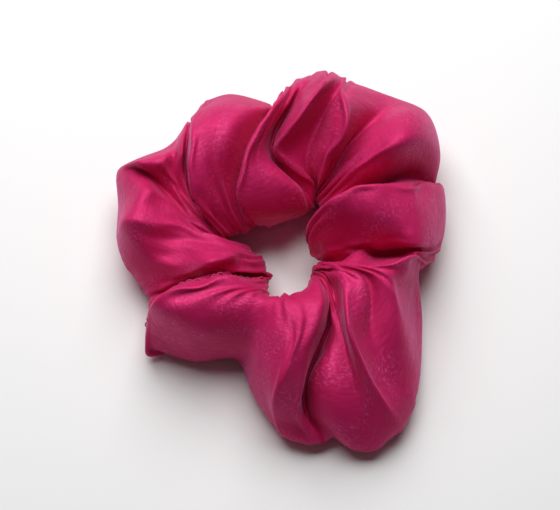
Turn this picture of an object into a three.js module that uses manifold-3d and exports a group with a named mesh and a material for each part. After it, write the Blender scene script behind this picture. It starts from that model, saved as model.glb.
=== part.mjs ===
// A gathered satin scrunchie: a sewn fabric tube, bunched up on a loop of flat elastic.
// Millimetres, +Z up. The origin is on the surface it rests on, under the middle of its box.
// The loop is built in two halves, so that one half can slide along +X as the elastic stretches.
import * as THREE from "three";
import { mergeVertices } from "three/addons/utils/BufferGeometryUtils.js";
import Module from "manifold-3d";

const wasm = await Module();
wasm.setup();

// ---- driving dimensions ----
const WALL = 0.5; // the gathered satin, as one ply that weighs the same
const HALF_GAP = 0.3; // between the two halves of the loop
const CLEARANCE = 0.35; // between a thread or the elastic and what it lies against
const HOLE_RADIUS_X = 10.5;
const HOLE_RADIUS_Y = 12.5;
const SINK = 1.6; // how far the resting lobes are pressed flat
const FOLD_DROP = 7; // how far the cover's top drops in the fold between two gathers
const FOLD_LIFT = 3.5; // and how far its underside lifts there
const FOLD_SHARPNESS = 0.7; // 1 makes the gathers a plain wave, and less makes the folds sharper
const FULLNESS = 0.8; // 1 makes the cover's section an ellipse, and less makes it squarer

// Each gather: where it stands round the hole, in degrees from +X, how far it reaches, how high
// it stands, and how far the outline falls back in the fold after it.
const GATHERS = [
  { angle: 8, reach: 50, height: 31, fold: 2 },
  { angle: 44, reach: 61, height: 36, fold: 5 },
  { angle: 72, reach: 56, height: 38, fold: 8 },
  { angle: 90, reach: 47, height: 38, fold: 6 },
  { angle: 115, reach: 49, height: 35, fold: 6 },
  { angle: 150, reach: 51, height: 31, fold: 2 },
  { angle: 174, reach: 48, height: 28, fold: 6 },
  { angle: 221, reach: 51, height: 26, fold: 3 },
  { angle: 237, reach: 47, height: 27, fold: 10 },
  { angle: 273, reach: 62, height: 30, fold: 3 },
  { angle: 294, reach: 68, height: 30, fold: 3 },
  { angle: 319, reach: 54, height: 30, fold: 9 },
];

const ELASTIC = { radius: 23, width: 6, thickness: 1.2, overlapStart: 203, overlap: 32 };
// Where the elastic's far end climbs on to its near end, in degrees along the strip.
const LAP = { from: 290, to: 350 };
const THREAD_RADIUS = 0.2;
const SEAM = { section: 235, allowance: 5, plies: 0.8, threadDepth: 1.4 };
const CLOSING_SEAM_ANGLE = 213;

const STATION_STEP = 6; // degrees round the loop
const SECTION_SIDES = 16;
const THREAD_SIDES = 5;

const radians = THREE.MathUtils.degToRad;
const lerp = THREE.MathUtils.lerp;

// ---- the cover's shape ----

// The two gathers on either side of an angle, and how far it is from the first to the second.
function gathersAt(angle) {
  const turned = ((((angle - GATHERS[0].angle) % 360) + 360) % 360) + GATHERS[0].angle;
  for (let i = 0; i < GATHERS.length; i += 1) {
    const a = GATHERS[i];
    const b = GATHERS[(i + 1) % GATHERS.length];
    const end = i + 1 < GATHERS.length ? b.angle : b.angle + 360;
    if (turned <= end) return { a, b, t: (turned - a.angle) / (end - a.angle) };
  }
  throw new Error("no gather at " + angle);
}

// The size of the cover's section at an angle: its inner and outer radius, its top and its bottom.
function sectionAt(angle) {
  const { a, b, t } = gathersAt(angle);
  const crest = Math.pow((1 + Math.cos(2 * Math.PI * t)) / 2, FOLD_SHARPNESS);
  const inner = Math.hypot(
    HOLE_RADIUS_X * Math.cos(radians(angle)),
    HOLE_RADIUS_Y * Math.sin(radians(angle)),
  );
  return {
    inner,
    outer: lerp(a.reach, b.reach, t) - a.fold * (1 - crest),
    top: lerp(a.height, b.height, t) - FOLD_DROP * (1 - crest),
    bottom: -SINK + FOLD_LIFT * (1 - crest),
  };
}

// A point of the cover: angle round the loop, side round the section in degrees from the outside
// up and over the top, and how far inside the outer surface it lies.
function coverPoint(angle, side, inset) {
  const s = sectionAt(angle);
  const rounded = (x) => Math.sign(x) * Math.pow(Math.abs(x), FULLNESS);
  const half = (s.outer - s.inner) / 2 - inset;
  const rise = (s.top - s.bottom) / 2 - inset;
  const r = (s.outer + s.inner) / 2 + half * rounded(Math.cos(radians(side)));
  const z = (s.top + s.bottom) / 2 + rise * rounded(Math.sin(radians(side)));
  return new THREE.Vector3(
    r * Math.cos(radians(angle)),
    r * Math.sin(radians(angle)),
    Math.max(z, inset),
  );
}

// ---- closed meshes from rings of points ----

// A tube through rings of points, with its two ends closed by fans. Each ring runs
// anticlockwise as seen from the far end of the tube.
function tubeOf(rings) {
  const sides = rings[0].length;
  const points = rings.flat();
  const faces = [];
  for (let i = 0; i + 1 < rings.length; i += 1) {
    for (let j = 0; j < sides; j += 1) {
      const k = (j + 1) % sides;
      const [a, b, c, d] = [i * sides + j, i * sides + k, (i + 1) * sides + k, (i + 1) * sides + j];
      faces.push(a, b, c, a, c, d);
    }
  }
  const last = (rings.length - 1) * sides;
  for (let j = 1; j + 1 < sides; j += 1) {
    faces.push(0, j + 1, j);
    faces.push(last, last + j, last + j + 1);
  }
  return geometryOf(points, faces);
}

// A tube with a wall: rings of outer and of inner points, joined at the two open ends.
function shellOf(outer, inner) {
  const sides = outer[0].length;
  const size = outer.length * sides;
  const points = [...outer.flat(), ...inner.flat()];
  const faces = [];
  const quad = (a, b, c, d) => faces.push(a, b, c, a, c, d);
  for (let j = 0; j < sides; j += 1) {
    const k = (j + 1) % sides;
    for (let i = 0; i + 1 < outer.length; i += 1) {
      const [p, q] = [i * sides, (i + 1) * sides];
      quad(p + j, p + k, q + k, q + j);
      quad(size + p + k, size + p + j, size + q + j, size + q + k);
    }
    const last = (outer.length - 1) * sides;
    quad(j, size + j, size + k, k);
    quad(last + k, size + last + k, size + last + j, last + j);
  }
  return geometryOf(points, faces);
}

function geometryOf(points, faces) {
  const geometry = new THREE.BufferGeometry().setFromPoints(points);
  geometry.setIndex(faces);
  geometry.computeVertexNormals();
  return geometry;
}

// A round thread along a curve.
function threadAlong(curve, steps) {
  const section = new THREE.Shape();
  for (let i = 0; i <= THREAD_SIDES; i += 1) {
    const turn = (2 * Math.PI * i) / THREAD_SIDES;
    const [x, y] = [THREAD_RADIUS * Math.cos(turn), THREAD_RADIUS * Math.sin(turn)];
    if (i === 0) section.moveTo(x, y);
    else section.lineTo(x, y);
  }
  return new THREE.ExtrudeGeometry(section, { steps, bevelEnabled: false, extrudePath: curve });
}

// ---- joining solids ----

function solidOf(geometry) {
  const bare = geometry.clone();
  bare.deleteAttribute("normal");
  const merged = mergeVertices(bare, 1e-4);
  return new wasm.Manifold(
    new wasm.Mesh({
      numProp: 3,
      vertProperties: merged.attributes.position.array,
      triVerts: new Uint32Array(merged.index.array),
    }),
  );
}

function geometryFrom(solid) {
  const mesh = solid.getMesh();
  const geometry = new THREE.BufferGeometry();
  geometry.setAttribute("position", new THREE.BufferAttribute(mesh.vertProperties, 3));
  geometry.setIndex(new THREE.BufferAttribute(mesh.triVerts, 1));
  geometry.computeVertexNormals();
  return geometry;
}

// ---- the pieces ----

function anglesFrom(start, end) {
  const count = Math.round((end - start) / STATION_STEP);
  return Array.from({ length: count + 1 }, (_, i) => lerp(start, end, i / count));
}

// The seam allowance: the two raw edges of the tube, standing into it along the seam.
function seamAllowance(start, end) {
  const rings = anglesFrom(start, end).map((angle) => {
    const root = coverPoint(angle, SEAM.section, WALL / 2);
    const tip = coverPoint(angle, SEAM.section, WALL + SEAM.allowance);
    const along = new THREE.Vector3(-Math.sin(radians(angle)), Math.cos(radians(angle)), 0);
    const side = tip.clone().sub(root).cross(along).setLength(SEAM.plies / 2);
    return [
      root.clone().add(side),
      tip.clone().add(side),
      tip.clone().sub(side),
      root.clone().sub(side),
    ];
  });
  return tubeOf(rings);
}

function coverHalf(start, end) {
  const angles = anglesFrom(start, end);
  const sides = Array.from({ length: SECTION_SIDES }, (_, i) => (360 * i) / SECTION_SIDES);
  const ring = (angle, inset) => sides.map((side) => coverPoint(angle, side, inset)).reverse();
  const shell = shellOf(
    angles.map((angle) => ring(angle, 0)),
    angles.map((angle) => ring(angle, WALL)),
  );
  return geometryFrom(solidOf(shell).add(solidOf(seamAllowance(start, end))));
}

// The seam's thread, on the face of the seam allowance.
function seamThread(start, end) {
  const points = anglesFrom(start, end).map((angle) => {
    const root = coverPoint(angle, SEAM.section, WALL + SEAM.threadDepth);
    const tip = coverPoint(angle, SEAM.section, WALL + SEAM.allowance);
    const along = new THREE.Vector3(-Math.sin(radians(angle)), Math.cos(radians(angle)), 0);
    const off = SEAM.plies / 2 + CLEARANCE + THREAD_RADIUS;
    return root.add(tip.sub(root).cross(along).setLength(off));
  });
  return threadAlong(new THREE.CatmullRomCurve3(points), points.length);
}

// The mid-height of the elastic, which is also the middle of the cover's section.
const elasticHeight = (GATHERS[0].height - SINK) / 2;

// The elastic is one strip, a little longer than the loop, so that its ends lie on each other.
function elasticRadiusAt(turned) {
  const step = ELASTIC.thickness + CLEARANCE;
  return ELASTIC.radius + step * THREE.MathUtils.smoothstep(turned, LAP.from, LAP.to);
}

function elasticBand() {
  const [halfThick, halfWide] = [ELASTIC.thickness / 2, ELASTIC.width / 2];
  const rings = anglesFrom(0, 360 + ELASTIC.overlap).map((turned) => {
    const angle = radians(ELASTIC.overlapStart + turned);
    const corner = (r, z) =>
      new THREE.Vector3(r * Math.cos(angle), r * Math.sin(angle), elasticHeight + z);
    const r = elasticRadiusAt(turned);
    return [
      corner(r - halfThick, -halfWide),
      corner(r - halfThick, halfWide),
      corner(r + halfThick, halfWide),
      corner(r + halfThick, -halfWide),
    ];
  });
  return tubeOf(rings);
}

// The whipping that holds the two ends of the elastic together: a helix round both plies.
function elasticJoinThread() {
  const turns = 7;
  const stepsPerTurn = 8; // the four corners of the plies, and the middles between them
  const end = 5; // degrees left bare at each end of the overlap
  const away = CLEARANCE + THREAD_RADIUS;
  const middle = ELASTIC.radius + (ELASTIC.thickness + CLEARANCE) / 2;
  const halfAcross = ELASTIC.thickness + CLEARANCE / 2 + away;
  const halfTall = ELASTIC.width / 2 + away;
  const points = [];
  for (let i = 0; i <= turns * stepsPerTurn; i += 1) {
    const turn = (2 * Math.PI * i) / stepsPerTurn;
    const share = i / (turns * stepsPerTurn);
    const angle = radians(ELASTIC.overlapStart + lerp(end, ELASTIC.overlap - end, share));
    const squared = 1 / Math.max(Math.abs(Math.cos(turn)), Math.abs(Math.sin(turn)));
    const r = middle + halfAcross * Math.cos(turn) * squared;
    const z = elasticHeight + halfTall * Math.sin(turn) * squared;
    points.push(new THREE.Vector3(r * Math.cos(angle), r * Math.sin(angle), z));
  }
  return threadAlong(new THREE.CatmullRomCurve3(points, false, "centripetal"), points.length - 1);
}

// The topstitching where the two ends of the tube are tucked together, over the top of the loop.
function closingSeamThread() {
  const [from, to] = [150, -15]; // round the section: the inside, over the top, to the outside
  const stitches = 24;
  const points = Array.from({ length: stitches + 1 }, (_, i) =>
    coverPoint(
      CLOSING_SEAM_ANGLE,
      lerp(from, to, i / stitches),
      -(CLEARANCE + THREAD_RADIUS) - (i % 2) * THREAD_RADIUS,
    ),
  );
  return threadAlong(new THREE.CatmullRomCurve3(points), 2 * stitches);
}

// ---- materials ----

const satin = new THREE.MeshStandardMaterial({ color: 0xc4155f, roughness: 0.42, metalness: 0 });
const seamCotton = new THREE.MeshStandardMaterial({ color: 0xb80f55, roughness: 0.7, metalness: 0 });
const elasticWhite = new THREE.MeshStandardMaterial({ color: 0xf1ece6, roughness: 0.85, metalness: 0 });
const whippingWhite = new THREE.MeshStandardMaterial({ color: 0xe4ded6, roughness: 0.75, metalness: 0 });

// ---- the assembly ----

const scrunchie = new THREE.Group();

function addNode(name, geometry, material, x = 0) {
  const mesh = new THREE.Mesh(geometry, material);
  mesh.name = name;
  mesh.position.x = x;
  scrunchie.add(mesh);
  return mesh;
}

const shift = HALF_GAP / 2;
const pulled = [-90, 90];
const held = [90, 270];
addNode("cover_pulled_side", coverHalf(...pulled), satin, shift);
addNode("cover_held_side", coverHalf(...held), satin, -shift);
addNode("elastic_band", elasticBand(), elasticWhite);
addNode("elastic_join_thread", elasticJoinThread(), whippingWhite);
addNode("closing_seam_thread", closingSeamThread(), seamCotton, -shift);
addNode("long_seam_thread_pulled_side", seamThread(...pulled), seamCotton, shift);
addNode("long_seam_thread_held_side", seamThread(...held), seamCotton, -shift);

// Put the origin under the middle of the box.
const box = new THREE.Box3().setFromObject(scrunchie);
const centre = box.getCenter(new THREE.Vector3());
for (const mesh of scrunchie.children) {
  mesh.position.sub(new THREE.Vector3(centre.x, centre.y, box.min.z));
}

export default scrunchie;
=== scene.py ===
"""A gathered satin scrunchie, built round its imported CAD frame.

The cover is lofted through its folds, and a short cloth simulation softens them. It is then opened
into the one strip of satin that it is sewn from: the long edges are turned inside along the long
seam, and one end is hemmed and laps over the other at the closing seam. Where the gathers are tight,
layers of the cloth still pass through each other. Lengths are in millimetres until a mesh is made.
"""

import math

import bpy
import numpy as np
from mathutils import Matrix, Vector


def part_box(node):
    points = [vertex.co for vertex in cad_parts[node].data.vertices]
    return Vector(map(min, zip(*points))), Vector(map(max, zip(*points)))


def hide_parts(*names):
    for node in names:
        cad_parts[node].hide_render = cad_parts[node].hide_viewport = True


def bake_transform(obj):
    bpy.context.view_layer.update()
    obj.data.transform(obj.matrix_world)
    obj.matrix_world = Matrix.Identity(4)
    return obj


MM = 0.001

# The strip of satin that the cover is sewn from, with its seam allowances.
STRIP_WIDTH = 110
STRIP_LENGTH = 400
SATIN_THICKNESS = 0.25

# The cover's mesh: columns run round the loop, and rows run round the tube.
COLUMNS = 270
ROWS = 40

SMALL_GATHER_HEIGHT = 0.12  # of the fine gathers beside the hole
# Their two waves, as (share of the height, waves round the loop, how far they wander, how often).
SMALL_GATHER_WAVES = [(1, 31, 1.5, 5), (0.6, 47, 2, 3)]

# The long seam runs along one row, under the loop and near the hole.
SEAM_ROW = 36
SEAM_ALLOWANCE = 5
SEAM_OPENING = 0.35  # between the two edges that the seam joins

# The closing seam, as a bearing round the loop from +X. The hem and the lap are counted in columns.
CLOSING_SEAM_ANGLE = 213
HEM_COLUMNS = 3
LAP_COLUMNS = 4
HEM_DEPTH = 0.6  # how far the turned-under hem lies inside the outer surface
LAP_DEPTH = 0.75  # and how far inside the tucked-in end lies

THREAD_RADIUS = 0.2
STITCH_PITCH = 2.6
STITCH_LENGTH = 2.1
LONG_SEAM_DEPTH = 1.4  # from the cover's surface to the stitches of the long seam
TOPSTITCH_COLUMN = 2  # beside the folded edge of the closing seam
TOPSTITCH_ROWS = 28  # from beside the hole

# The flat elastic: one strip, whose end climbs over its start, in degrees along the strip.
ELASTIC_RADIUS = 23
ELASTIC_WIDTH = 6
ELASTIC_THICKNESS = 1.2
ELASTIC_START = 203
ELASTIC_OVERLAP = 32
ELASTIC_CLIMB = (290, 350)
ELASTIC_CLEARANCE = 0.35
ELASTIC_CORDS = 8
ELASTIC_STEP = 1.4  # degrees between the rings of its mesh

# The whipping round the elastic's lap.
WHIPPING_TURNS = 7
WHIPPING_STEPS = 24  # in each turn
WHIPPING_BARE = 5  # degrees of the lap left bare at each end
WHIPPING_SQUARENESS = 6  # 2 makes the helix round, and more makes it squarer

# The cloth simulation.
SIM_SCALE = 10  # Blender's cloth keeps layers at least 1 mm apart, so it is run on a larger copy
SIM_FRAMES = 14
SIM_FLOOR_HALF = 120
HOLD_EVERYWHERE = 0.6
HOLD_MORE_AT_ELASTIC = 0.3

# The camera and the light.
CAMERA_LENS = 98.4
CAMERA_SENSOR = 36
CAMERA_ELEVATION = 62  # degrees
CAMERA_DISTANCE = 450
CAMERA_TARGET = (-1.1, 0.43, 15)
WINDOW_PLACE = (-50, 340, 600)
WINDOW_SIZE = 700
WINDOW_POWER = 6.5  # watts
WINDOW_TARGET = (0, 0, 15)
FLOOR_HALF = 600
WALLS_AS_LIGHT = 0.05  # how strongly the studio's walls light the scene
WALLS_AS_SEEN = 0.9  # and how bright the camera sees them

# The folds of the cover, anticlockwise from above: name, height of the underside, roundness and line.
# A roundness of 1 is a full soft curve, and 0 a sharp crease. A line runs round the tube from beside
# the hole, over the top, and down the outside, through points (x, y, z). The lines were not written
# by hand: they were worked out from places picked over a picture, with heights that were guessed.
FOLDS = [
    ("right pocket", 2, 0.4, [
        (11, 2, 9), (18, -1, 14), (20, -1, 20), (24, 0, 20), (27, 0, 14), (34, 1, 15), (37, 0, 18),
        (39, -3, 24), (42, -2, 19), (45, 1, 9),
    ]),
    ("right under lip", 0, 0.4, [
        (8, 4, 9), (12, 1, 16), (19, 0, 20), (26, 0, 23), (32, 0, 25), (38, -2, 26), (43, 0, 20),
        (47, 5, 9),
    ]),
    ("right belly", 0, 1, [
        (8, 4, 12), (8, 5, 20), (16, 6, 28), (25, 5, 31), (33, 5, 30), (39, 7, 27), (45, 12, 19),
        (49, 16, 8),
    ]),
    ("right crest", 0, 0.4, [
        (7, 7, 13), (7, 8, 21), (10, 9, 28), (14, 10, 32), (18, 12, 34), (24, 13, 35), (29, 14, 33),
        (36, 15, 30), (41, 20, 24), (46, 25, 17), (49, 27, 9),
    ]),
    ("right crease", 2, 0.4, [
        (12, 13, 14), (17, 17, 20), (19, 18, 20), (28, 21, 19), (37, 26, 17), (46, 26, 9),
    ]),
    ("back right puff", 0, 1, [
        (10, 19, 13), (14, 19, 21), (23, 22, 30), (34, 26, 35), (42, 31, 29), (48, 35, 13),
    ]),
    ("back right shoulder", 0, 1, [
        (10, 20, 13), (14, 22, 22), (23, 29, 29), (32, 37, 32), (40, 43, 27), (45, 50, 12),
    ]),
    ("back right dip", 1, 0.8, [
        (10, 21, 13), (12, 22, 20), (14, 24, 21), (20, 33, 24), (26, 40, 26), (30, 45, 25),
        (35, 56, 14),
    ]),
    ("back ridge", 0, 0.3, [
        (10, 21, 13), (10, 22, 19), (11, 22, 26), (13, 24, 31), (15, 26, 35), (17, 29, 38),
        (18, 33, 39), (18, 38, 39), (17, 42, 38), (19, 51, 30), (22, 60, 15),
    ]),
    ("back crease", 2, 0.5, [
        (10, 21, 14), (7, 24, 19), (7, 28, 23), (9, 35, 26), (12, 41, 29), (15, 46, 32), (17, 52, 29),
        (19, 62, 15),
    ]),
    ("back fin", 0, 0.3, [
        (10, 20, 14), (9, 22, 21), (4, 23, 26), (-1, 25, 28), (-3, 26, 31), (-1, 29, 33), (2, 31, 36),
        (5, 35, 38), (8, 40, 39), (12, 46, 38), (14, 52, 33), (16, 64, 16),
    ]),
    ("back hollow", 3, 0.4, [
        (9, 17, 14), (6, 20, 18), (2, 22, 21), (-2, 26, 22), (-4, 30, 22), (-4, 34, 23), (-1, 41, 24),
        (2, 46, 27), (5, 49, 31), (8, 55, 28), (10, 64, 14),
    ]),
    ("tongue right", 0, 1, [
        (6, 15, 13), (7, 16, 19), (4, 17, 25), (0, 20, 28), (-4, 24, 29), (-6, 29, 31), (-3, 36, 32),
        (0, 43, 32), (3, 52, 28), (5, 62, 15),
    ]),
    ("tongue", 0, 1, [
        (0, 13, 12), (-1, 11, 20), (-6, 14, 28), (-9, 19, 32), (-8, 26, 34), (-5, 32, 35), (-2, 39, 35),
        (1, 47, 32), (3, 60, 16),
    ]),
    ("tongue ridge", 0, 0.3, [
        (-6, 11, 13), (-10, 10, 20), (-12, 10, 26), (-14, 12, 30), (-13, 16, 33), (-12, 21, 35),
        (-10, 25, 36), (-7, 31, 37), (-3, 37, 37), (0, 44, 34), (1, 57, 18),
    ]),
    ("tongue crease", 3, 0.3, [
        (-9, 12, 12), (-12, 18, 15), (-12, 25, 20), (-10, 32, 18), (-6, 42, 20), (-3, 52, 16),
    ]),
    ("back left puff", 0, 1, [
        (-11, 10, 12), (-15, 15, 20), (-16, 22, 27), (-14, 31, 32), (-11, 39, 31), (-7, 46, 25),
        (-4, 53, 14),
    ]),
    ("back left crown", 0, 1, [
        (-14, 9, 13), (-18, 13, 22), (-21, 20, 30), (-21, 28, 34), (-20, 36, 34), (-17, 46, 28),
        (-16, 57, 14),
    ]),
    ("back left ridge", 0, 0.3, [
        (-17, 7, 14), (-21, 8, 21), (-24, 10, 26), (-26, 12, 30), (-27, 16, 32), (-28, 20, 34),
        (-27, 25, 35), (-27, 30, 35), (-27, 37, 32), (-25, 45, 26), (-24, 56, 12),
    ]),
    ("left crease", 2, 0.4, [
        (-19, 7, 12), (-23, 10, 20), (-25, 13, 20), (-26, 15, 18), (-29, 21, 17), (-30, 28, 18),
        (-30, 34, 20), (-29, 40, 20), (-29, 48, 14),
    ]),
    ("left gather", 1, 0.5, [
        (-19, 6, 14), (-23, 10, 20), (-24, 11, 20), (-28, 18, 19), (-30, 25, 22), (-30, 29, 27),
        (-30, 37, 25), (-30, 49, 12),
    ]),
    ("left gather crease", 2, 0.5, [
        (-20, 7, 13), (-23, 10, 20), (-25, 12, 20), (-30, 20, 19), (-33, 26, 21), (-33, 29, 24),
        (-33, 35, 20), (-33, 42, 12),
    ]),
    ("left shoulder", 0, 0.6, [
        (-20, 7, 13), (-23, 9, 20), (-26, 12, 20), (-31, 20, 19), (-34, 25, 23), (-35, 27, 27),
        (-35, 31, 23), (-37, 38, 12),
    ]),
    ("left rim", 0, 0.6, [
        (-17, 7, 12), (-21, 4, 18), (-23, 7, 20), (-25, 10, 20), (-28, 13, 19), (-34, 21, 19),
        (-40, 24, 25), (-43, 25, 27), (-46, 28, 22), (-48, 33, 12),
    ]),
    ("left hollow", 1, 0.8, [
        (-15, 7, 11), (-21, 4, 18), (-23, 6, 20), (-26, 9, 20), (-28, 12, 18), (-35, 20, 17),
        (-40, 25, 20), (-45, 27, 21), (-48, 28, 18), (-51, 31, 11),
    ]),
    ("left upper ridge", 0, 0.5, [
        (-13, 7, 10), (-20, 4, 18), (-27, 8, 20), (-33, 14, 21), (-37, 16, 24), (-39, 16, 27),
        (-43, 20, 24), (-48, 24, 19), (-51, 27, 11),
    ]),
    ("left dip", 0, 0.7, [
        (-12, 6, 10), (-20, 3, 18), (-27, 6, 20), (-33, 10, 22), (-38, 11, 25), (-42, 11, 27),
        (-46, 14, 22), (-49, 18, 15), (-50, 20, 9),
    ]),
    ("left petal", 0, 0.5, [
        (-10, 5, 10), (-15, 4, 17), (-20, 4, 20), (-26, 5, 20), (-32, 6, 22), (-38, 5, 26),
        (-43, 5, 28), (-47, 6, 25), (-49, 8, 16), (-50, 10, 8),
    ]),
    ("left belly", 0, 0.7, [
        (-8, 4, 8), (-12, 2, 16), (-17, 1, 21), (-24, 2, 20), (-32, 3, 20), (-39, 2, 23), (-44, 2, 24),
        (-48, 4, 16), (-49, 5, 8),
    ]),
    ("left low", 0, 0.7, [
        (-6, 3, 8), (-10, 0, 16), (-16, -2, 23), (-22, -4, 25), (-28, -2, 21), (-34, -2, 19),
        (-39, -3, 19), (-45, -2, 14), (-47, 0, 7),
    ]),
    ("inner tab", 0, 0.5, [
        (-5, 1, 8), (-9, -2, 15), (-15, -5, 25), (-21, -9, 28), (-25, -8, 24), (-32, -6, 18),
        (-38, -6, 15), (-44, -4, 7),
    ]),
    ("inner fold", 1, 0.5, [
        (-5, -1, 8), (-9, -4, 14), (-15, -7, 21), (-20, -9, 21), (-24, -9, 20), (-30, -8, 15),
        (-37, -9, 12), (-42, -7, 7),
    ]),
    ("lower band", 0, 0.5, [
        (-4, -3, 8), (-8, -5, 14), (-13, -7, 19), (-18, -8, 19), (-23, -9, 20), (-30, -9, 14),
        (-36, -10, 12), (-41, -9, 7),
    ]),
    ("seam crease", 2, 0.4, [
        (-3, -2, 6), (-8, -3, 10), (-14, -3, 11), (-18, -8, 21), (-22, -9, 21), (-32, -9, 12),
        (-38, -11, 11), (-40, -11, 7),
    ]),
    ("seam ridge", 0, 0.3, [
        (-5, -7, 10), (-9, -11, 19), (-13, -12, 26), (-17, -13, 29), (-22, -16, 30), (-28, -17, 30),
        (-33, -18, 29), (-37, -20, 26), (-39, -21, 19), (-40, -24, 11), (-41, -27, 3),
    ]),
    ("seam face", 0, 0.6, [
        (-4, -10, 12), (-9, -14, 24), (-17, -17, 29), (-26, -21, 29), (-32, -24, 27), (-35, -25, 15),
        (-36, -26, 3),
    ]),
    ("seam belly", 0, 1, [
        (-5, -14, 14), (-8, -17, 26), (-13, -20, 28), (-19, -25, 26), (-23, -28, 22), (-25, -29, 12),
        (-26, -29, 3),
    ]),
    ("front left crease", 1, 0.8, [
        (-4, -14, 14), (-6, -19, 26), (-10, -24, 25), (-13, -28, 20), (-16, -29, 12), (-17, -28, 4),
    ]),
    ("front left hollow", 2, 0.8, [
        (-3, -14, 13), (-4, -20, 27), (-7, -26, 24), (-10, -30, 17), (-12, -30, 8), (-13, -29, 4),
    ]),
    ("front left side", 0, 1, [
        (-1, -14, 13), (-1, -20, 28), (-4, -29, 27), (-7, -35, 21), (-9, -38, 12), (-10, -37, 4),
    ]),
    ("front left flank", 0, 1, [
        (2, -14, 13), (1, -20, 29), (1, -32, 30), (-3, -41, 24), (-6, -44, 13), (-7, -43, 4),
    ]),
    ("front petal ridge", 0, 0.6, [
        (6, -12, 13), (6, -19, 28), (6, -28, 31), (4, -36, 30), (0, -43, 27), (-3, -48, 20),
        (-2, -51, 10), (0, -53, 4),
    ]),
    ("front petal side", 0, 0.7, [
        (7, -9, 13), (9, -13, 25), (11, -21, 29), (10, -29, 29), (7, -36, 27), (5, -44, 21),
        (4, -50, 14), (6, -54, 8), (7, -56, 4),
    ]),
    ("front crease", 3, 0.4, [
        (8, -6, 11), (10, -10, 20), (13, -16, 20), (12, -24, 14), (8, -33, 10), (5, -42, 7),
        (8, -51, 6), (12, -55, 4),
    ]),
    ("front right ridge", 0, 0.5, [
        (8, -6, 12), (11, -9, 20), (13, -16, 20), (14, -26, 18), (10, -35, 19), (7, -40, 17),
        (8, -46, 14), (11, -51, 10), (15, -53, 4),
    ]),
    ("front right face", 0, 1, [
        (8, -5, 12), (11, -8, 20), (14, -16, 20), (15, -27, 20), (13, -38, 21), (13, -47, 18),
        (16, -54, 11), (20, -57, 4),
    ]),
    ("front right crease", 1, 0.6, [
        (9, -4, 12), (12, -7, 20), (15, -15, 21), (17, -27, 21), (19, -39, 20), (21, -48, 16),
        (24, -55, 9), (27, -57, 4),
    ]),
    ("right front ridge", 0, 0.4, [
        (9, -3, 12), (14, -10, 26), (17, -17, 30), (17, -24, 32), (17, -30, 32), (19, -35, 30),
        (22, -40, 26), (26, -45, 20), (31, -50, 12), (34, -51, 4),
    ]),
    ("right bowl crease", 1, 0.5, [
        (9, -4, 12), (15, -10, 27), (22, -14, 29), (24, -20, 26), (23, -27, 24), (25, -33, 22),
        (29, -40, 17), (35, -44, 11), (38, -43, 4),
    ]),
    ("right front petal", 0, 1, [
        (10, -2, 12), (16, -9, 27), (26, -14, 30), (30, -20, 27), (33, -27, 22), (37, -32, 13),
        (40, -32, 4),
    ]),
    ("right lip face", 0, 1, [
        (10, -2, 12), (17, -8, 25), (24, -11, 30), (30, -12, 29), (34, -13, 22), (38, -12, 11),
        (41, -15, 4),
    ]),
    ("right lip", 0, 0.4, [
        (10, -1, 12), (16, -6, 21), (22, -9, 26), (27, -10, 29), (33, -9, 30), (37, -7, 28),
        (39, -5, 20), (39, -2, 7),
    ]),
]


# ---- the cover's shape ----


def closed_spline(knots, count, roundness=1.0):
    """Points evenly spaced along a closed curve through knots, whose first axis runs along it."""
    after, before = np.roll(knots, -1, axis=0), np.roll(knots, 1, axis=0)
    gaps = np.linalg.norm(after - knots, axis=-1).mean(axis=1)
    at = np.concatenate([[0], np.cumsum(gaps)])
    slopes = (after - before) / (gaps + np.roll(gaps, 1))[:, None, None]
    slopes = slopes * np.broadcast_to(roundness, len(knots))[:, None, None]
    places = np.linspace(0, at[-1], count, endpoint=False)
    first = np.clip(np.searchsorted(at, places, side="right") - 1, 0, len(knots) - 1)
    second = (first + 1) % len(knots)
    span = gaps[first][:, None, None]
    t = ((places - at[first]) / gaps[first])[:, None, None]
    return (
        knots[first] * (2 * t**3 - 3 * t**2 + 1)
        + slopes[first] * span * (t**3 - 2 * t**2 + t)
        + knots[second] * (3 * t**2 - 2 * t**3)
        + slopes[second] * span * (t**3 - t**2)
    )


def fold_line(underside, line):
    """One fold's closed line round the tube, as evenly spaced points. It closes along the underside."""
    line = np.array(line, float)
    near, far = line[0], line[-1]
    under = [far + (near - far) * share for share in (0.2, 0.5, 0.8)]
    for point, lift in zip(under, (1.5, 0, 1.5)):
        point[2] = underside + lift
    knots = np.concatenate([line, under])
    return closed_spline(knots[:, None, :], ROWS)[:, 0]


def unit(vectors):
    return vectors / np.linalg.norm(vectors, axis=-1, keepdims=True)


def outward(grid):
    """The outward normal at each point of the closed cover."""
    along = np.roll(grid, -1, axis=0) - np.roll(grid, 1, axis=0)
    across = np.roll(grid, -1, axis=1) - np.roll(grid, 1, axis=1)
    return unit(np.cross(across, along))


def small_gathers():
    """How high the fine gathers stand at each column and row: they are pressed out beside the hole."""
    turn = np.arange(COLUMNS) / COLUMNS * 2 * math.pi
    wave = sum(
        share * np.sin(count * turn + wander * np.sin(slow * turn))
        for share, count, wander, slow in SMALL_GATHER_WAVES
    )
    row = np.arange(ROWS) / ROWS * 2 * math.pi
    beside_hole = np.clip(np.cos(row + 0.2), 0, 1) ** 3
    return SMALL_GATHER_HEIGHT * wave[:, None] * beside_hole


def cover_grid():
    lines = np.array([fold_line(underside, line) for _, underside, _, line in FOLDS])
    roundness = [fold[2] for fold in FOLDS]
    grid = closed_spline(lines, COLUMNS, roundness)
    return grid + outward(grid) * small_gathers()[:, :, None]


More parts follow.
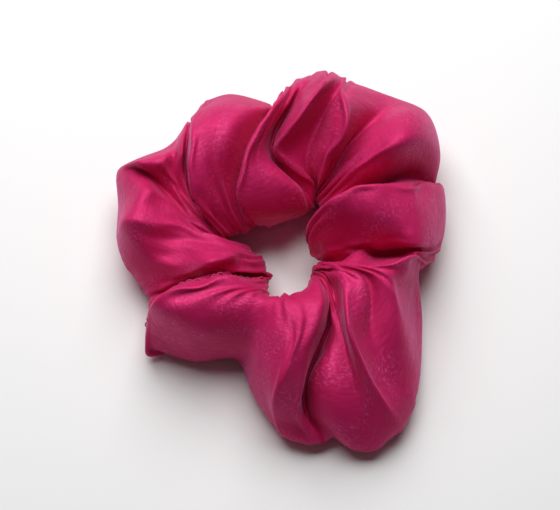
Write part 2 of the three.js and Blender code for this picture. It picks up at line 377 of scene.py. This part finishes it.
def tube_mesh(name, grid):
    """A closed mesh of the cover, to be settled as cloth."""
    columns, rows = grid.shape[:2]
    faces = []
    for i in range(columns):
        for j in range(rows):
            here, ahead = i * rows, (i + 1) % columns * rows
            across = (j + 1) % rows
            faces.append((here + j, here + across, ahead + across, ahead + j))
    return add_piece(name, grid.reshape(-1, 3), faces)


def add_piece(name, points, faces):
    mesh = bpy.data.meshes.new(name)
    mesh.from_pydata((np.asarray(points) * MM).tolist(), [], faces)
    mesh.shade_smooth()
    mesh.update()
    piece = bpy.data.objects.new(name, mesh)
    bpy.context.scene.collection.objects.link(piece)
    return piece


# ---- cloth ----


def hold_weights():
    """How firmly each point is held to its lofted place, which is most firmly along the elastic."""
    row = np.arange(ROWS) / ROWS * 2 * math.pi
    firm = np.clip(np.cos(row), 0, 1) ** 4
    return np.tile(HOLD_EVERYWHERE + HOLD_MORE_AT_ELASTIC * firm, COLUMNS)


def vertex_group(piece, name, weights):
    group = piece.vertex_groups.new(name=name)
    for i, weight in enumerate(weights):
        group.add([i], float(weight), "REPLACE")


def settled(grid):
    """The cover after a short simulation, which softens its folds but leaves some layers crossing."""
    piece = tube_mesh("settling_cover", grid * SIM_SCALE)
    vertex_group(piece, "held", hold_weights())
    floor = add_square("collision_floor", SIM_FLOOR_HALF * SIM_SCALE)
    floor.modifiers.new("Collision", "COLLISION")
    floor.collision.thickness_outer = 0.004
    modifier = piece.modifiers.new("Cloth", "CLOTH")
    set_cloth(modifier)
    modifier.point_cache.frame_start = 1
    modifier.point_cache.frame_end = SIM_FRAMES
    for step in range(1, SIM_FRAMES + 1):
        bpy.context.scene.frame_set(step)
    bpy.context.view_layer.objects.active = piece
    bpy.ops.object.modifier_apply(modifier=modifier.name)
    points = np.array([vertex.co for vertex in piece.data.vertices]) / (SIM_SCALE * MM)
    bpy.data.objects.remove(floor)
    bpy.data.objects.remove(piece)
    return points.reshape(COLUMNS, ROWS, 3)


def set_cloth(modifier):
    cloth = modifier.settings
    cloth.quality = 5
    cloth.mass = 0.2
    cloth.tension_stiffness = 30
    cloth.compression_stiffness = 30
    cloth.shear_stiffness = 12
    cloth.bending_stiffness = 20
    cloth.air_damping = 3
    cloth.vertex_group_mass = "held"
    cloth.pin_stiffness = 1
    cloth.use_pressure = True
    cloth.uniform_pressure_force = 0.1
    cloth.effector_weights.gravity = 0.1
    contact = modifier.collision_settings
    contact.collision_quality = 3
    contact.distance_min = 0.004
    contact.use_self_collision = True
    contact.self_distance_min = 0.006


# ---- sewing ----


def column_at(grid, angle):
    """The column of the cover that stands at a bearing round the elastic."""
    middles = grid.mean(axis=1) - ELASTIC_CENTRE
    turn = np.degrees(np.arctan2(middles[:, 1], middles[:, 0])) - angle
    return int(np.argmin(np.abs((turn + 180) % 360 - 180)))


def opened_at_seams(grid):
    """The cover's grid, rolled so that its first column and row are at the two seams."""
    return np.roll(grid, (-column_at(grid, CLOSING_SEAM_ANGLE), -SEAM_ROW), axis=(0, 1))


def turn_in_edges(grid, normals):
    """Adds the seam allowances to both long edges, and returns the strip with its normals."""
    seam = grid[:, :1]
    inside = unit(grid.mean(axis=1, keepdims=True) - seam)
    first_edge = seam + unit(grid[:, 1:2] - seam) * SEAM_OPENING / 2
    last_edge = seam + unit(grid[:, -1:] - seam) * SEAM_OPENING / 2
    full, half = inside * SEAM_ALLOWANCE, inside * SEAM_ALLOWANCE / 2
    strip = [first_edge + full, first_edge + half, first_edge, grid[:, 1:]]
    strip += [last_edge, last_edge + half, last_edge + full]
    edge_normals = [normals[:, :1]] * 3
    strip_normals = [*edge_normals, normals[:, 1:], *edge_normals]
    return np.concatenate(strip, axis=1), np.concatenate(strip_normals, axis=1)


def lap_ends(strip, normals):
    """Turns the first end under as a hem, and tucks the last end inside it."""
    hem = (strip - normals * HEM_DEPTH)[:HEM_COLUMNS][::-1]
    tucked = (strip - normals * LAP_DEPTH)[:LAP_COLUMNS]
    return np.concatenate([hem, strip, tucked])


def strip_piece(name, strip):
    """The strip as a mesh, whose UVs are the place on the flat cloth, in metres."""
    columns, rows = strip.shape[:2]
    faces = []
    for i in range(columns - 1):
        for j in range(rows - 1):
            here, ahead = i * rows + j, (i + 1) * rows + j
            faces.append((here, here + 1, ahead + 1, ahead))
    piece = add_piece(name, strip.reshape(-1, 3), faces)
    place = piece.data.uv_layers.new(name="cloth")
    corner = np.array([loop.vertex_index for loop in piece.data.loops])
    along = corner // rows / (columns - 1) * STRIP_LENGTH * MM
    across = corner % rows / (rows - 1) * STRIP_WIDTH * MM
    place.data.foreach_set("uv", np.column_stack([along, across]).ravel())
    return piece


def give_thickness(piece):
    smooth = piece.modifiers.new("Subdivision", "SUBSURF")
    smooth.levels = 1
    smooth.render_levels = 1
    solid = piece.modifiers.new("Thickness", "SOLIDIFY")
    solid.thickness = SATIN_THICKNESS * MM
    solid.offset = -1


# ---- threads ----


def thread_rings(path, radius, sides):
    """Rings round a path, narrowing to a rounded end at each end."""
    path = np.asarray(path, float)
    along = unit(np.gradient(path, axis=0))
    rounding = [(-1, 0.15), (-0.7, 0.7)]
    centres = [path[0] + along[0] * radius * back for back, _ in rounding]
    centres += list(path)
    centres += [path[-1] - along[-1] * radius * back for back, _ in reversed(rounding)]
    widths = [w for _, w in rounding] + [1] * len(path) + [w for _, w in reversed(rounding)]
    directions = [along[0]] * 2 + list(along) + [along[-1]] * 2
    side = np.cross(along[0], (0.3, 0.5, 0.8))
    turns = np.arange(sides) / sides * 2 * math.pi
    rings = []
    for centre, width, direction in zip(centres, widths, directions):
        side = unit(side - direction * side.dot(direction))
        other = np.cross(direction, side)
        circle = np.outer(np.cos(turns), side) + np.outer(np.sin(turns), other)
        rings.append(centre + circle * radius * width)
    return rings


def thread_piece(name, paths, radius=THREAD_RADIUS, sides=8):
    """One piece of thread, as a short rounded tube along each path."""
    points, faces = [], []
    for path in paths:
        rings = thread_rings(path, radius, sides)
        start = len(points)
        points += [point for ring in rings for point in ring]
        for i in range(len(rings) - 1):
            for j in range(sides):
                here, ahead = start + i * sides, start + (i + 1) * sides
                across = (j + 1) % sides
                faces.append((here + j, here + across, ahead + across, ahead + j))
        last = start + (len(rings) - 1) * sides
        faces.append([start + j for j in reversed(range(sides))])
        faces.append([last + j for j in range(sides)])
    return add_piece(name, points, faces)


def resampled(values, path, places):
    """Values given at the points of a path, taken at distances along it."""
    lengths = np.linalg.norm(np.diff(path, axis=0), axis=1)
    at = np.concatenate([[0], np.cumsum(lengths)])
    return np.column_stack([np.interp(places, at, values[:, axis]) for axis in range(3)])


def stitches(path, normals):
    """A row of running stitches on a surface: each lies on it and dips into it at both ends."""
    total = np.linalg.norm(np.diff(path, axis=0), axis=1).sum()
    dips = np.array([-1.2, 0.2, 0.8, 1, 0.8, 0.2, -1.2]) * THREAD_RADIUS
    result = []
    for start in np.arange(0.5, total - STITCH_PITCH, STITCH_PITCH):
        places = np.linspace(start, start + STITCH_LENGTH, len(dips))
        up = unit(resampled(normals, path, places))
        result.append(resampled(path, path, places) + up * dips[:, None])
    return result


def closing_seam_thread(grid, normals):
    """Topstitching beside the folded edge, from beside the hole, over the top, to the outside."""
    beside_hole = ROWS - SEAM_ROW
    rows = slice(beside_hole - 1, beside_hole + TOPSTITCH_ROWS)
    path = grid[TOPSTITCH_COLUMN, rows]
    return thread_piece("closing_seam_stitches", stitches(path, normals[TOPSTITCH_COLUMN, rows]))


def long_seam_thread(grid):
    """The stitches that join the two seam allowances. About half of them can be seen from below."""
    seam = grid[:, 0]
    inside = unit(grid.mean(axis=1) - seam)
    along = np.roll(seam, -1, axis=0) - seam
    sideways = unit(np.cross(inside, unit(along)))
    paths = []
    for side in (-1, 1):
        away = SEAM_OPENING / 2 + SATIN_THICKNESS
        path = seam + inside * LONG_SEAM_DEPTH + sideways * side * away
        paths += stitches(path[::2], (sideways * side)[::2])
    return thread_piece("long_seam_stitches", paths)


# ---- the elastic ----


def elastic_radius(turned):
    start, end = ELASTIC_CLIMB
    t = np.clip((turned - start) / (end - start), 0, 1)
    return ELASTIC_RADIUS + (ELASTIC_THICKNESS + ELASTIC_CLEARANCE) * t * t * (3 - 2 * t)


def elastic_section():
    """The ribbed outline of the braid, as (outward, upward) offsets."""
    heights = np.linspace(-1, 1, 6 * ELASTIC_CORDS + 1)
    ribs = np.abs(np.cos(heights * ELASTIC_CORDS * math.pi / 2))
    round_edge = np.sqrt(1 - np.abs(heights) ** 8)
    halves = ELASTIC_THICKNESS / 2 * (0.8 + 0.2 * ribs) * (0.35 + 0.65 * round_edge)
    outer = np.column_stack([halves, heights * ELASTIC_WIDTH / 2])
    inner = np.column_stack([-halves, heights * ELASTIC_WIDTH / 2])[::-1]
    return np.concatenate([outer, inner])


def elastic_piece():
    section = elastic_section()
    turned = np.arange(0, 360 + ELASTIC_OVERLAP + ELASTIC_STEP / 2, ELASTIC_STEP)
    rings = []
    for along in turned:
        angle = math.radians(ELASTIC_START + along)
        radius = elastic_radius(along) + section[:, 0]
        ring = np.column_stack([radius * math.cos(angle), radius * math.sin(angle), section[:, 1]])
        rings.append(ring + ELASTIC_CENTRE)
    count = len(section)
    faces = []
    for i in range(len(rings) - 1):
        for j in range(count):
            across = (j + 1) % count
            faces.append((i * count + j, (i + 1) * count + j, (i + 1) * count + across, i * count + across))
    faces.append(list(range(count)))
    last = (len(rings) - 1) * count
    faces.append([last + j for j in reversed(range(count))])
    piece = add_piece("elastic", np.concatenate(rings), faces)
    place = piece.data.uv_layers.new(name="strip")
    corner = np.array([loop.vertex_index for loop in piece.data.loops])
    along = np.radians(turned[corner // count]) * ELASTIC_RADIUS * MM
    place.data.foreach_set("uv", np.column_stack([along, section[corner % count, 1] * MM]).ravel())
    return piece


def elastic_join_thread():
    """The whipping that holds the two ends of the elastic together: a squared helix round both plies."""
    away = ELASTIC_CLEARANCE + THREAD_RADIUS
    middle = ELASTIC_RADIUS + (ELASTIC_THICKNESS + ELASTIC_CLEARANCE) / 2
    half_across = ELASTIC_THICKNESS + ELASTIC_CLEARANCE / 2 + away
    half_tall = ELASTIC_WIDTH / 2 + away
    steps = WHIPPING_TURNS * WHIPPING_STEPS
    share = np.arange(steps + 1) / steps
    turn = 2 * math.pi * WHIPPING_TURNS * share
    wound = (ELASTIC_OVERLAP - 2 * WHIPPING_BARE) * share
    angle = np.radians(ELASTIC_START + WHIPPING_BARE + wound)
    power = WHIPPING_SQUARENESS
    rounded = (np.abs(np.cos(turn)) ** power + np.abs(np.sin(turn)) ** power) ** (-1 / power)
    radius = middle + half_across * np.cos(turn) * rounded
    height = half_tall * np.sin(turn) * rounded
    path = np.column_stack([radius * np.cos(angle), radius * np.sin(angle), height]) + ELASTIC_CENTRE
    return thread_piece("elastic_whipping", [path])


# ---- materials ----


def new_material(name, colour, roughness):
    material = bpy.data.materials.new(name)
    material.use_nodes = True
    shader = material.node_tree.nodes["Principled BSDF"]
    shader.inputs["Base Color"].default_value = (*colour, 1)
    shader.inputs["Roughness"].default_value = roughness
    return material, material.node_tree, shader


def add_node(tree, kind, values=None, **settings):
    """A node with its settings, and its inputs given by name as values or as the sockets to link."""
    node = tree.nodes.new(kind)
    for key, value in settings.items():
        setattr(node, key, value)
    for key, value in (values or {}).items():
        if isinstance(value, bpy.types.NodeSocket):
            tree.links.new(value, node.inputs[key])
        else:
            node.inputs[key].default_value = value
    return node


def cloth_place(tree, layer, stretch=(1, 1, 1)):
    """The place on the flat cloth, from a piece's UV layer."""
    place = add_node(tree, "ShaderNodeUVMap", uv_map=layer).outputs["UV"]
    return add_node(tree, "ShaderNodeMapping", {"Vector": place, "Scale": stretch}).outputs["Vector"]


def noise(tree, place, size, detail=2.0, roughness=0.5):
    """Noise whose features are about size millimetres across."""
    values = {"Vector": place, "Scale": 1 / (size * MM), "Detail": detail, "Roughness": roughness}
    return add_node(tree, "ShaderNodeTexNoise", values).outputs["Fac"]


def ridges(tree, place, size, direction, distortion=0.0):
    """Fine parallel ridges, size millimetres apart."""
    values = {"Vector": place, "Scale": math.pi / 10 / (size * MM), "Distortion": distortion}
    return add_node(
        tree, "ShaderNodeTexWave", values, wave_type="BANDS", bands_direction=direction
    ).outputs["Fac"]


def bumped(tree, height, depth, under=None):
    """A bump of a depth in millimetres, over the normal of another."""
    values = {"Height": height, "Distance": depth * MM, "Strength": 1.0}
    if under:
        values["Normal"] = under
    return add_node(tree, "ShaderNodeBump", values).outputs["Normal"]


def mapped(tree, value, low, high, start=0.3, end=0.7):
    """A value brought from between start and end to between low and high."""
    values = {"Value": value, "From Min": start, "From Max": end, "To Min": low, "To Max": high}
    return add_node(tree, "ShaderNodeMapRange", values).outputs["Result"]


def colour_input(colour):
    """A colour for a node: a socket as it is, or three numbers made opaque."""
    return colour if isinstance(colour, bpy.types.NodeSocket) else (*colour, 1)


def mixed(tree, share, first, second):
    """One of two colours, or a share of each."""
    values = {"Fac": share, "Color1": colour_input(first), "Color2": colour_input(second)}
    return add_node(tree, "ShaderNodeMixRGB", values).outputs["Color"]


def satin_material():
    """Fuchsia satin: a smooth warp face, lightly crushed, with a fine pale grain of painted sparkle and a
    tinted sheen.
    """
    material, tree, shader = new_material("fuchsia_satin", (0.6, 0.012, 0.11), 0.55)
    shader.inputs["Metallic"].default_value = 0.2
    shader.inputs["Specular Tint"].default_value = (1, 0.45, 0.9, 1)
    shader.inputs["Sheen Weight"].default_value = 0.35
    shader.inputs["Sheen Roughness"].default_value = 0.35
    shader.inputs["Sheen Tint"].default_value = (1, 0.38, 0.8, 1)
    place = cloth_place(tree, "cloth")
    creases = noise(tree, place, 7, 3, 0.55)
    crush = noise(tree, cloth_place(tree, "cloth", (0.35, 1, 1)), 0.9, 3, 0.6)
    normal = bumped(tree, creases, 0.35)
    normal = bumped(tree, crush, 0.14, normal)
    normal = bumped(tree, ridges(tree, place, 0.3, "Y", 1.0), 0.012, normal)
    tree.links.new(normal, shader.inputs["Normal"])
    tree.links.new(mapped(tree, crush, 0.45, 0.66), shader.inputs["Roughness"])
    patches = mapped(tree, noise(tree, place, 14, 3, 0.6), 0, 1)
    colour = mixed(tree, patches, (0.55, 0.008, 0.095), (0.65, 0.015, 0.13))
    # A pale pink mixed in by fine noise, in patches, is painted sparkle: glints of the satin's sheen
    # painted into its colour.
    sparkle_patches = mapped(tree, noise(tree, place, 9, 2, 0.5), 0, 0.7, 0.45, 0.7)
    sparkle_grain = mapped(tree, noise(tree, place, 0.8, 4, 0.7), 0, 1, 0.5, 0.68)
    painted_sparkle = add_node(tree, "ShaderNodeMath", {0: sparkle_patches, 1: sparkle_grain}, operation="MULTIPLY")
    colour = mixed(tree, painted_sparkle.outputs["Value"], colour, (0.85, 0.14, 0.42))
    tree.links.new(colour, shader.inputs["Base Color"])
    return material


def thread_material(name, colour):
    """Twisted sewing thread, darker in the grooves between its plies as painted shade."""
    material, tree, shader = new_material(name, colour, 0.6)
    shader.inputs["Sheen Weight"].default_value = 0.3
    place = add_node(tree, "ShaderNodeTexCoord").outputs["Object"]
    plies = ridges(tree, place, 0.25, "DIAGONAL", 0.5)
    tree.links.new(bumped(tree, plies, 0.05), shader.inputs["Normal"])
    # The darker colour in the grooves of the twist is painted shade.
    dark = tuple(0.75 * part for part in colour)
    tree.links.new(mixed(tree, plies, dark, colour), shader.inputs["Base Color"])
    return material


def elastic_material():
    """White braided elastic: plaited cords with fine fibres, and painted shade in the grooves of the plait.
    """
    material, tree, shader = new_material("white_braid", (0.86, 0.84, 0.8), 0.8)
    shader.inputs["Sheen Weight"].default_value = 0.2
    place = cloth_place(tree, "strip")
    plait = ridges(tree, place, 0.7, "DIAGONAL", 0.3)
    crossing = ridges(tree, cloth_place(tree, "strip", (1, -1, 1)), 0.7, "DIAGONAL", 0.3)
    normal = bumped(tree, plait, 0.12)
    normal = bumped(tree, crossing, 0.12, normal)
    normal = bumped(tree, noise(tree, place, 0.2), 0.02, normal)
    tree.links.new(normal, shader.inputs["Normal"])
    # The greyer colour in the grooves of the plait is painted shade.
    colour = mixed(tree, plait, (0.72, 0.7, 0.66), (0.88, 0.86, 0.82))
    tree.links.new(colour, shader.inputs["Base Color"])
    return material


# ---- the stage ----


def add_square(name, half):
    """A flat square in the floor's plane, given by half its side."""
    mesh = bpy.data.meshes.new(name)
    reach = half * MM
    corners = [(-reach, -reach, 0), (reach, -reach, 0), (reach, reach, 0), (-reach, reach, 0)]
    mesh.from_pydata(corners, [], [(0, 1, 2, 3)])
    square = bpy.data.objects.new(name, mesh)
    bpy.context.scene.collection.objects.link(square)
    return square


def add_floor():
    floor = add_square("floor", FLOOR_HALF)
    material, _, _ = new_material("pale_floor", (0.94, 0.94, 0.94), 0.6)
    floor.data.materials.append(material)


def add_camera():
    data = bpy.data.cameras.new("camera")
    data.lens = CAMERA_LENS
    data.sensor_width = CAMERA_SENSOR
    camera = bpy.data.objects.new("camera", data)
    elevation = math.radians(CAMERA_ELEVATION)
    back = Vector((0, -math.cos(elevation), math.sin(elevation)))
    camera.location = Vector(CAMERA_TARGET) * MM + CAMERA_DISTANCE * MM * back
    camera.rotation_euler = (math.pi / 2 - elevation, 0, 0)
    bpy.context.scene.collection.objects.link(camera)
    bpy.context.scene.camera = camera


def add_window():
    """A large soft light behind the scrunchie, turned towards it."""
    data = bpy.data.lights.new("window", "AREA")
    data.size = WINDOW_SIZE * MM
    data.energy = WINDOW_POWER
    light = bpy.data.objects.new("window", data)
    place = Vector(WINDOW_PLACE) * MM
    light.location = place
    light.rotation_euler = (Vector(WINDOW_TARGET) * MM - place).to_track_quat("-Z", "Y").to_euler()
    bpy.context.scene.collection.objects.link(light)


def add_world():
    """A dim studio whose walls are seen as pale."""
    world = bpy.data.worlds.new("studio")
    world.use_nodes = True
    tree = world.node_tree
    background = tree.nodes["Background"]
    background.inputs["Color"].default_value = (1, 0.96, 0.94, 1)
    seen = add_node(tree, "ShaderNodeLightPath").outputs["Is Camera Ray"]
    strength = mapped(tree, seen, WALLS_AS_LIGHT, WALLS_AS_SEEN, 0, 1)
    tree.links.new(strength, background.inputs["Strength"])
    bpy.context.scene.world = world


# ---- the assembly ----


def finish_piece(piece, material, slot, *replaced):
    """Gives a piece its material, hides the CAD nodes that it stands for, and bakes its placement into its
    mesh.
    """
    piece.data.materials.append(material)
    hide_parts(*replaced)
    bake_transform(piece)


def elastic_centre():
    """The middle of the elastic's loop, from its CAD box, whose +X and its two Y sides it touches."""
    low, high = (np.array(corner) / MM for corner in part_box("elastic_band"))
    reach = ELASTIC_RADIUS + ELASTIC_THICKNESS / 2
    return np.array([high[0] - reach, (low[1] + high[1]) / 2, (low[2] + high[2]) / 2])


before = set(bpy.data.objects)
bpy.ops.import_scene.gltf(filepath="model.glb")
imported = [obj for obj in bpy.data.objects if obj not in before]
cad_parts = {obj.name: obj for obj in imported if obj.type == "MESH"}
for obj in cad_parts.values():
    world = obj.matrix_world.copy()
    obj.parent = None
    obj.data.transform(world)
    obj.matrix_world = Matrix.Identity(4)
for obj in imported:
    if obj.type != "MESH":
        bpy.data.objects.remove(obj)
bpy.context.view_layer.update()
ELASTIC_CENTRE = elastic_centre()

add_floor()
add_camera()
add_world()
add_window()
bpy.context.scene.view_settings.view_transform = "Standard"

tube = cover_grid()
tube = settled(tube)
tube = opened_at_seams(tube)
tube_normals = outward(tube)
cover = strip_piece("cover", lap_ends(*turn_in_edges(tube, tube_normals)))
give_thickness(cover)
elastic = elastic_piece()
seam_thread = thread_material("matching_thread", (0.62, 0.02, 0.14))
white_thread = thread_material("white_thread", (0.8, 0.78, 0.74))
finish_piece(cover, satin_material(), "satin", "cover_held_side", "cover_pulled_side")
finish_piece(closing_seam_thread(tube, tube_normals), seam_thread, "seam_thread", "closing_seam_thread")
finish_piece(
    long_seam_thread(tube), seam_thread, "seam_thread",
    "long_seam_thread_held_side", "long_seam_thread_pulled_side",
)
finish_piece(elastic, elastic_material(), "braided_elastic", "elastic_band")
finish_piece(elastic_join_thread(), white_thread, "elastic_thread", "elastic_join_thread")
